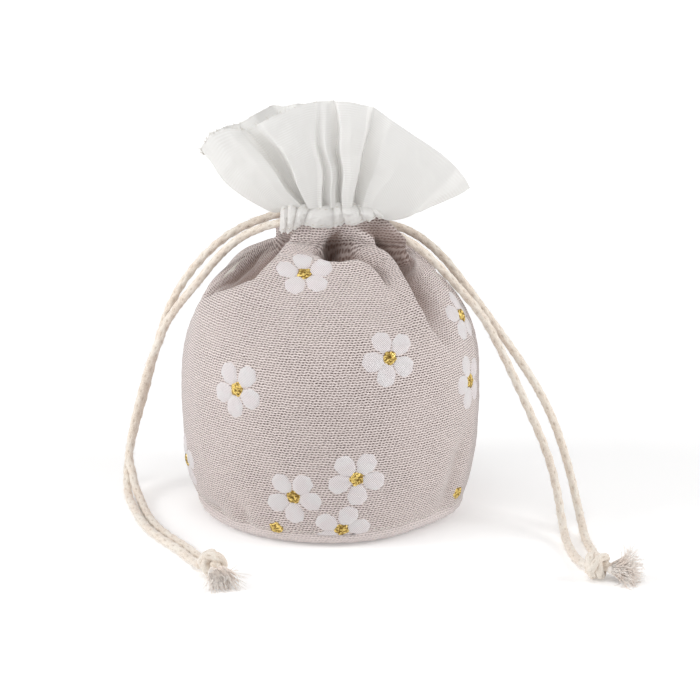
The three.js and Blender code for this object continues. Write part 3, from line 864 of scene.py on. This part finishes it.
def body_panel(name, first, last):
    p = BODY_P[:, first : last + 1]
    # the third cloth number is the painted shade in the body's folds
    cloth = cloth_places(p, BODY_ALONG, BODY_PAINTED_SHADE[:, first : last + 1])
    obj = new_object(f"{name}_cloth", p, grid_faces(*p.shape[:2]), TAUPE, cloth=cloth)
    piece(obj, "sack", name)


def base_cloth():
    """The round bottom piece: it swells out below the seam and lies flat on the table."""
    degrees = np.linspace(-180, 180, 241)[:-1]
    profile = [(44.3, BASE_SEAM_Z), (44.4, 3.5), (43.7, 2.2), (42.3, 1.0), (40.3, 0.3), (37.5, 0.1)]
    profile += [(r, 0.1 + 0.25 * (1 - r / 37.5)) for r in np.linspace(36, 0.4, 34)]
    r, z = np.array(profile).T
    line, _ = smooth_line(np.stack([r, np.zeros_like(r), z], 1), 0.5)
    angle = np.radians(degrees)
    edge = BODY_P[0, np.round((degrees + 180) / 360 * BODY_COLS).astype(int)]
    join = smoothstep(1.5, BASE_SEAM_Z, line[:, 2])[:, None]
    share = smoothstep(36, 43, line[:, 0])[:, None]
    radius = line[:, :1] + join * (np.hypot(edge[:, 0], edge[:, 1]) - line[0, 0])
    pucker = 0.22 * np.cos(angle * 46 + 2 * np.sin(3 * angle)) * share * (1 - join)
    x = (radius + pucker) * np.cos(angle)
    y = (radius + pucker) * np.sin(angle)
    lift = foot_lift(degrees)
    height = line[:, 2:] + lift * share + join * (edge[:, 2] - BASE_SEAM_Z - lift)
    p = np.stack([x, y, np.maximum(height, 0.05)], -1)
    faces = grid_faces(len(line), len(degrees), wrap=True, flip=True)
    faces.append(tuple(range((len(line) - 1) * len(degrees), len(line) * len(degrees)))[::-1])
    strip = line[:, :1] > 37.5
    run = length_along(line)[:, None]
    pale = -smoothstep(38, 42, line[:, :1]) + 0 * x
    cloth = np.stack([np.where(strip, 43 * angle, x), np.where(strip, -run, y), pale], -1)
    obj = new_object("base_cloth", p, faces, TAUPE, cloth=cloth)
    piece(obj, "sack", "base_panel")


base_cloth()
HALF = BODY_COLS // 2
body_panel("front_panel", 0, HALF)
body_panel("back_panel", HALF, BODY_COLS)


# ---------------------------------------------------------------- daisies

PETAL_LONG, PETAL_WIDE, PETAL_OUT = 7.6, 6.5, 5.6
GOLD_R = 2.35

# (angle, height, turn of the first petal), front and sides as they show, then the back. Two
# have only their gold centres.
DAISIES = [
    (-102.5, 85.0, 100), (-66.7, 62.6, 114), (-127.1, 51.4, 123), (-15.5, 68.2, 80),
    (-22.0, 48.0, 105), (-80.1, 24.7, 129), (-104.3, 17.7, 132), (-25.4, 9.6, None),
    (-168, 18.5, 95), (-112.5, 5.9, None), (-85.4, 6.6, 75),
    (18, 26.5, 85), (42, 71.0, 120), (52, 44.0, 95), (74, 14.0, 70), (84, 62.0, 105),
    (102, 37.0, 130), (124, 66.5, 80), (132, 16.5, 115), (143, 46.0, 100), (160, 70.0, 90),
    (165, 30.0, 125),
]


def on_body(degrees, along):
    """Places and normals on the folded body, read between the points of its grid."""
    col = (np.asarray(degrees, float) + 180) % 360 / 360 * BODY_COLS
    row = np.clip(np.asarray(along, float) / BODY_ALONG[-1], 0, 0.9999) * (BODY_ROWS - 1)
    c0, r0 = np.floor(col).astype(int) % BODY_COLS, np.floor(row).astype(int)
    fc, fr = (col - np.floor(col))[..., None], (row - r0)[..., None]

    def read(grid):
        a = grid[r0, c0] * (1 - fc) + grid[r0, c0 + 1] * fc
        b = grid[r0 + 1, c0] * (1 - fc) + grid[r0 + 1, c0 + 1] * fc
        return a * (1 - fr) + b * fr

    return read(BODY_P), unit(read(BODY_N))


def patch(degrees, z, x, y, height):
    """Puts a flat motif, drawn in x and y about a place, on the cloth, raised by height."""
    along = np.interp(z, BODY_Z, BODY_ALONG) + np.broadcast_to(y, height.shape)
    row = np.clip(along / BODY_ALONG[-1], 0, 0.9999) * (BODY_ROWS - 1)
    columns = np.linspace(-180, 180, BODY_COLS + 1)
    turn = np.empty(height.shape)
    for place in np.ndindex(height.shape):
        r = int(row[place])
        u = BODY_U[r] + (BODY_U[r + 1] - BODY_U[r]) * (row[place] - r)
        turn[place] = np.interp(np.interp(degrees, columns, u) + x[place], u, columns)
    p, n = on_body(turn, along)
    return p + n * height[..., None]


def petal(pile, daisy, heading, rng):
    rings, sides = 9, 34
    r = np.linspace(0, 1, rings)[:, None]
    a = np.linspace(0, math.tau, sides, endpoint=False)[None]
    notches = np.round(2 * np.sin(7 * a + rng.uniform(0, 6))) / 2
    ragged = 1 + 0.035 * notches + rng.normal(0, 0.008, a.shape)
    along = PETAL_OUT + r * ragged * PETAL_LONG / 2 * np.cos(a)
    across = r * ragged * PETAL_WIDE / 2 * np.sin(a) * (1 + 0.16 * np.cos(a))
    c, s = math.cos(heading), math.sin(heading)
    x, y = along * c - across * s, along * s + across * c
    stitch = np.cos(math.tau * (x + 0.8 * y) / 0.62)
    height = 0.46 * (1 - r ** 5) - 0.06 + 0.035 * stitch * (1 - r ** 8)
    cloth = np.stack([x + 3.1 * daisy[0], y + daisy[1], 0 * x], -1)
    pile.add(patch(*daisy, x, y, height), grid_faces(rings, sides, wrap=True), cloth)


def gold_centre(pile, daisy, rng):
    rings, sides = 12, 40
    r = np.linspace(0, 1, rings)[:, None]
    a = np.linspace(0, math.tau, sides, endpoint=False)[None]
    ragged = 1 + 0.07 * np.sign(np.sin(5 * a + rng.uniform(0, 6))) + rng.normal(0, 0.03, a.shape)
    x, y = GOLD_R * r * ragged * np.cos(a), GOLD_R * r * ragged * np.sin(a)
    grain = rng.normal(0, 0.09, (rings, sides))
    height = 0.62 * (1 - r ** 4) * np.ones_like(a) - 0.04 + grain * (1 - r ** 6)
    pile.add(patch(*daisy, x, y, height), grid_faces(rings, sides, wrap=True))


def daisies():
    rng = np.random.default_rng(7)
    for name, side in (("front", FRONT), ("back", BACK)):
        petals, centres = Pile(), Pile()
        for degrees, z, first in DAISIES:
            if (degrees < 0) != (side == FRONT):
                continue
            for k in range(5 if first is not None else 0):
                heading = math.radians(first - 72 * k + rng.uniform(-5, 5))
                petal(petals, (degrees, z), heading, rng)
            gold_centre(centres, (degrees, z), rng)
        for kind, pile, material, slot in (
            ("petals", petals, PETAL, "daisy_petal"),
            ("centres", centres, GOLD, "gold_thread"),
        ):
            obj = pile.build(f"{name}_daisy_{kind}", material)
            piece(obj, "sack")


daisies()


# ---------------------------------------------------------------- neck and casing

PUFF_DEPTHS = {
    FRONT: [0.8, 1.3, 1.2, 2.0, 1.2, 2.1, 1.2, 0.8],
    BACK: [1.2, 1.0, 1.9, 1.1, 1.7, 1.2, 1.6, 0.9],
}

CASING_RAISE = {FRONT: 1.2, BACK: 0.0}   # the white edge stands this far above the seam


def casing(side):
    """One puckered side of the casing, from the seam up to the gathers under the ruffle."""
    gaps = np.array(CASING_GAPS[side])
    rows, cols = 70, 460
    place = np.linspace(0, len(gaps) - 1, cols)
    which = np.minimum(place.astype(int), len(gaps) - 2)
    share = place - which
    t = np.linspace(0, 1, rows)[:, None]
    numbers = np.arange(len(gaps))
    low_x, top_x, edge = (np.interp(place, numbers, gaps[:, k]) for k in range(3))
    edge = edge + CASING_RAISE[side]
    x = low_x + (top_x - low_x) * t + 0.35 * np.sin(math.pi * 1.6 * t + which) * np.sin(math.pi * share)
    puff = np.sin(math.pi * share) ** 0.6
    deep = np.array(PUFF_DEPTHS[side])[which]
    wrinkle = np.sin(place * 9.5 + 2.2 * t + 2.0 * np.sin(2.1 * place)) * np.sin(place * 5.1 - 3.1 * t)
    end = 1 - smoothstep(13.5, 18.5, np.abs(x))
    bulge = np.sin(math.pi * np.clip(t * 0.9 + 0.07, 0, 1)) ** 0.7
    pinch = smoothstep(0.5, 0.95, t)
    out = NECK_DEPTH - 1.7 + 1.3 * end + bulge * (0.5 + deep * puff) + 0.22 * wrinkle * bulge
    out = out + 0.25 * puff - pinch * (2.2 - 0.7 * puff)
    top = CASING_Z1 + 0.5 * np.sin(which * 1.7) - 2.8 * (1 - end)
    hang = edge - 0.5 - 0.35 * puff * deep + 0.3 * np.sin(place * 11.0) * np.sin(place * 3.7)
    z = hang + (top - hang) * t
    p = np.stack([x, side * out, z], -1)
    p = p + (0.62 * cloud(p, 3.0, 6.0) + 0.34 * cloud(p, 1.2, 2.0))[..., None] * np.array([0.5, 1.0, 0.5])
    p = relax(p, 1)
    cloth = cloth_places(p, np.linspace(0, 11, rows))
    name = "front" if side == FRONT else "back"
    faces = grid_faces(rows, cols, flip=side == BACK)
    obj = new_object(f"{name}_casing_cloth", p, faces, VOILE, cloth=cloth)
    piece(obj, "sack", f"casing_{name}")
    return obj, p


def stitch_row(pile, line, out, length=1.5, gap=1.1, radius=0.15):
    """Small running stitches along a line on the cloth, sunk into it at both ends."""
    along = length_along(line)
    for start in np.arange(0.8, along[-1] - length - 0.6, length + gap):
        at = np.linspace(start, start + length, 7)
        middle = np.stack([np.interp(at, along, line[:, k]) for k in range(3)], 1)
        normal = np.stack([np.interp(at, along, out[:, k]) for k in range(3)], 1)
        arch = np.sin(np.linspace(0, math.pi, 7))[:, None]
        middle = middle + unit(normal) * (0.2 * arch - 0.08)
        across, up = turning_frames(middle)
        turns = np.linspace(0, math.tau, 6, endpoint=False)
        ring = np.stack([np.cos(a) * across + np.sin(a) * up for a in turns], 1)
        tube = middle[:, None] + ring * (radius * (0.55 + 0.45 * arch))[:, None]
        pile.add(tube, tube_faces(7, 6))


def stitches(name, height, node):
    """A row of gathering stitches round both sides of the casing, at a share of its height."""
    pile = Pile()
    for side in (FRONT, BACK):
        p = CASINGS[side][1]
        row = round(height * (len(p) - 1))
        normals = grid_normals(p, flip=side == BACK)
        stitch_row(pile, p[row, 6:-6:3], normals[row, 6:-6:3])
    obj = pile.build(name, THREAD)
    piece(obj, "sack", node)


def neck_lining():
    """The gathered cloth inside the neck, between the cords."""
    rows, cols = 24, 360
    a = np.linspace(-math.pi, math.pi, cols, endpoint=False)
    t = np.linspace(0, 1, rows)[:, None]
    pleat = np.abs(np.sin(15 * a + np.sin(3 * a)))
    depth = 3.0 + 1.5 * pleat[None] + 0.6 * np.sin(math.pi * t)
    x, y = round_section(a[None] + 0 * t, NECK_FLAT, depth)
    z = 92 + 12.5 * t + 0 * a[None]
    p = np.stack([x, y, z], -1)
    cloth = cloth_places(p, np.linspace(0, 12, rows))
    obj = new_object("neck_lining", p, grid_faces(rows, cols, wrap=True), VOILE, cloth=cloth)
    piece(obj, "sack", "neck_facing")


CASINGS = {side: casing(side) for side in (FRONT, BACK)}
stitches("lower_gathering_stitches", 0.14, "lower_stitch_row")
stitches("upper_gathering_stitches", 0.86, "upper_stitch_row")


def base_stitches():
    """The row of stitches just above the seam round the base."""
    pile = Pile()
    stitch_row(pile, BODY_P[2, ::2], BODY_N[2, ::2], length=1.3, gap=0.9, radius=0.12)
    obj = pile.build("base_stitches", THREAD)
    piece(obj, "sack")


base_stitches()
neck_lining()


# ---------------------------------------------------------------- ruffle

# Pleats of the ruffle from its left end to its right end: place at the neck, place and
# height at the rim, and how far forward it stands at the neck, half way up and at the rim.
FRONT_PLEATS = [
    (-16.5, -41.0, 119.0, 1.0, 1.0, -1.0), (-15.8, -42.0, 121.7, 4.0, 5.0, 3.0),
    (-14.0, -38.2, 127.3, 6.5, 8.5, 7.5), (-11.4, -33.0, 129.6, 8.0, 10.5, 9.5),
    (-8.6, -29.0, 128.9, 8.2, 10.0, 7.5), (-8.2, -27.6, 126.8, 4.5, 2.5, -1.0),
    (-7.6, -24.0, 128.6, 4.8, 3.0, 1.0), (-7.2, -22.6, 131.3, 9.4, 11.5, 10.5),
    (-5.4, -14.5, 135.8, 9.0, 11.5, 12.5), (-4.0, -7.5, 138.4, 8.6, 11.0, 13.0),
    (-2.8, -5.0, 138.7, 9.4, 11.2, 13.0), (-2.3, -4.2, 138.8, 5.2, 9.0, 12.8),
    (0.4, -2.0, 139.0, 8.8, 11.0, 12.5), (1.8, -0.5, 138.9, 8.4, 9.0, 11.5),
    (3.2, 1.2, 138.6, 4.2, 3.0, 9.8), (3.9, 2.0, 138.9, 9.6, 11.5, 12.8),
    (5.6, 6.0, 139.0, 9.8, 12.8, 13.8), (6.9, 12.0, 137.6, 9.5, 11.5, 13.4),
    (7.6, 14.0, 136.6, 4.2, 4.0, 11.0), (10.4, 19.5, 132.9, 8.8, 9.8, 12.5),
    (13.0, 28.0, 127.0, 8.6, 11.5, 12.0), (15.2, 36.0, 121.0, 7.8, 10.5, 9.5),
    (16.8, 40.5, 116.4, 7.4, 8.5, 7.5), (17.8, 43.6, 111.5, 3.5, 2.5, 1.5),
    (18.6, 45.4, 107.8, 0.5, 0.5, -1.0),
]

BACK_PLEATS = [
    (-16.5, -41.0, 119.0, -1.0, -1.0, 1.0), (-15.6, -39.4, 125.0, 4.0, 5.5, 5.0),
    (-13.2, -34.3, 126.4, 7.5, 9.5, 8.0), (-11.6, -29.5, 128.0, 4.5, 6.0, 7.5),
    (-9.0, -25.0, 130.0, 8.6, 11.0, 10.0), (-6.4, -19.0, 133.0, 8.8, 11.5, 11.0),
    (-5.2, -15.5, 133.2, 4.6, 6.5, 9.5), (-3.0, -11.0, 133.3, 9.0, 11.5, 12.0),
    (-0.6, -4.5, 133.0, 8.4, 10.5, 12.0), (0.6, 0.5, 132.8, 4.4, 7.5, 11.5),
    (3.2, 6.0, 132.6, 9.0, 12.0, 13.0), (5.8, 11.5, 131.2, 8.2, 9.5, 12.0),
    (7.0, 15.0, 129.8, 4.4, 5.5, 10.0), (9.4, 20.0, 127.4, 8.8, 11.5, 11.5),
    (12.2, 27.5, 122.6, 8.2, 10.5, 10.0), (13.8, 31.0, 119.6, 4.4, 5.5, 7.0),
    (16.2, 37.5, 114.6, 7.0, 8.5, 6.5), (17.8, 42.6, 110.4, 3.5, 4.0, 3.0),
    (18.6, 45.4, 107.8, -0.5, -0.5, 1.0),
]


def ruffle_grid(pleats, side):
    """A fan of cloth from the neck to the rim: each pleat is a curve that leaves the neck
    upright in the middle and level at the two ends."""
    rows, fine = 110, 640
    table = np.array(pleats, float)
    chord = np.hypot(np.diff(table[:, 1]), np.diff(table[:, 5]))
    chord = chord + np.hypot(np.diff(table[:, 0]), np.diff(table[:, 3]))
    place = np.concatenate([[0], np.cumsum(chord + 1.0)])
    s = np.linspace(0, place[-1], fine)
    column = np.stack([np.interp(s, place, table[:, k]) for k in range(6)], 1)
    pad = 60
    kernel_at = np.arange(-pad, pad + 1) * (s[1] - s[0])

    def soften(values, width):
        kernel = np.exp(-((kernel_at / width) ** 2))
        ends = 2 * values[:1] - values[pad:0:-1], 2 * values[-1:] - values[-2 : -pad - 2 : -1]
        return np.convolve(np.concatenate([ends[0], values, ends[1]]), kernel / kernel.sum(), "valid")

    for k, deeper in ((4, 1.5), (5, 1.4)) if side == FRONT else ((4, 2.8), (5, 2.6)):
        even = soften(column[:, k], 9.0)
        column[:, k] = even + deeper * (column[:, k] - even)
    sharp = np.stack([soften(column[:, k], 0.45) for k in range(6)], 1)
    soft = np.stack([soften(column[:, k], 1.5) for k in range(6)], 1)
    t = np.linspace(0, 1, rows)[:, None]
    blend = smoothstep(0.15, 0.9, t)
    neck_x, rim_x, rim_z, y0, y1, y2 = (sharp[:, k] * (1 - blend) + soft[:, k] * blend for k in range(6))
    neck_z = CASING_Z1 - 1.4 - 3.0 * smoothstep(11, 18, np.abs(neck_x)) - 1.2 * smoothstep(12, 18, neck_x)
    slope = np.degrees(np.arctan2(rim_z - neck_z, np.abs(rim_x - neck_x)))
    rise = -0.28 + 0.78 * smoothstep(28, 62, slope)
    mid_x = neck_x + 0.31 * (rim_x - neck_x)
    mid_z = neck_z + rise * (rim_z - neck_z)

    def curve(a, b, c):
        return (1 - t) ** 2 * a + 2 * t * (1 - t) * b + t ** 2 * c

    out = curve(y0, y1 + 0.5 * (y1 - (y0 + y2) / 2), y2)
    p = np.stack([curve(neck_x, mid_x, rim_x), side * out, curve(neck_z, mid_z, rim_z)], -1)
    crumple = cloud(p, 7.0, 8.0 + side) * 0.6 + cloud(p, 2.4, 2.0 + side) * 0.14
    p[..., 1] += crumple * smoothstep(0.05, 0.5, t)
    sway = cloud(p * np.array([1.0, 0.4, 1.0]), 13.0, 5.0 + side) * 2.6 * np.sin(math.pi * t) ** 0.8
    p[..., 0] += sway
    return p


def ruffle(side, pleats):
    p = ruffle_grid(pleats, side)
    rows, cols = p.shape[:2]
    height = np.linspace(0, 36, rows)
    cloth = cloth_places(p, height)
    name = "front" if side == FRONT else "back"
    faces = grid_faces(rows, cols, flip=side == BACK)
    obj = new_object(f"{name}_ruffle_cloth", p, faces, VOILE, cloth=cloth)
    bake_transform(obj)
    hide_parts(f"ruffle_{name}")
    rim_threads(name, p, np.random.default_rng(9 + side))


def rim_threads(name, p, rng):
    """Loose threads along the cut edge of a ruffle, most of them near its left end."""
    pile = Pile()
    at = (rng.beta(0.7, 2.6, 120) * (p.shape[1] - 1)).astype(int)
    headings = unit(p[-1, at] - p[-5, at]) + rng.normal(0, 0.45, (len(at), 3))
    fibres(pile, p[-2, at], headings, rng.uniform(0.9, 2.4, len(at)), 0.13, 0.2, rng)
    obj = pile.build(f"{name}_ruffle_threads", THREAD)
    piece(obj, f"ruffle_{name}")


ruffle(FRONT, FRONT_PLEATS)
ruffle(BACK, BACK_PLEATS)


# ---------------------------------------------------------------- seams and stitches

for node in ("left_side_seam", "right_side_seam", "base_seam"):
    slots = frame["nodes"][node].material_slots
    for slot in slots:
        slot.material = THREAD


# ---------------------------------------------------------------- stage and light

def stage():
    """A white floor that glows a little more far from the sack, so that it has no horizon."""
    size = 6000
    n = Nodes("floor", 0.9)
    place = n.place()
    away = n.tree.nodes.new("ShaderNodeVectorMath")
    away.operation = "LENGTH"
    n.put(away.inputs[0], place)
    glow = n.range(away.outputs["Value"], 0.12, 0.9, 0.19, 0.85)
    n.put(n.shader.inputs["Emission Strength"], glow)
    n.shader.inputs["Emission Color"].default_value = (1, 1, 1, 1)
    tone = n.range(n.noise(place, 3.0), 0.3, 0.7)
    white = n.finish(n.colour(tone, (0.90, 0.90, 0.90), (0.92, 0.92, 0.92)))
    corners = [(-size, -size, 0), (size, -size, 0), (size, size, 0), (-size, size, 0)]
    floor = new_object("floor", corners, [(0, 1, 2, 3)], white)


def area_light(name, place, size, power):
    data = bpy.data.lights.new(name, "AREA")
    data.shape = "DISK"
    data.size = size
    data.energy = power
    light = bpy.data.objects.new(name, data)
    bpy.context.scene.collection.objects.link(light)
    light.location = place
    aim = Vector((0, 0, 0.05)) - light.location
    light.rotation_euler = aim.to_track_quat("-Z", "Y").to_euler()


def world():
    scene_world = bpy.data.worlds.new("studio")
    scene_world.use_nodes = True
    background = scene_world.node_tree.nodes["Background"]
    background.inputs["Color"].default_value = (1, 1, 1, 1)
    background.inputs["Strength"].default_value = 0.5
    bpy.context.scene.world = scene_world
    bpy.context.scene.view_settings.view_transform = "Standard"


stage()
world()
area_light("left_softbox", (-0.8, -0.2, 0.45), 0.45, 3.3)
area_light("right_softbox", (0.85, -0.12, 0.42), 0.45, 3.2)
area_light("top_softbox", (-0.1, -0.25, 0.95), 0.5, 2.0)
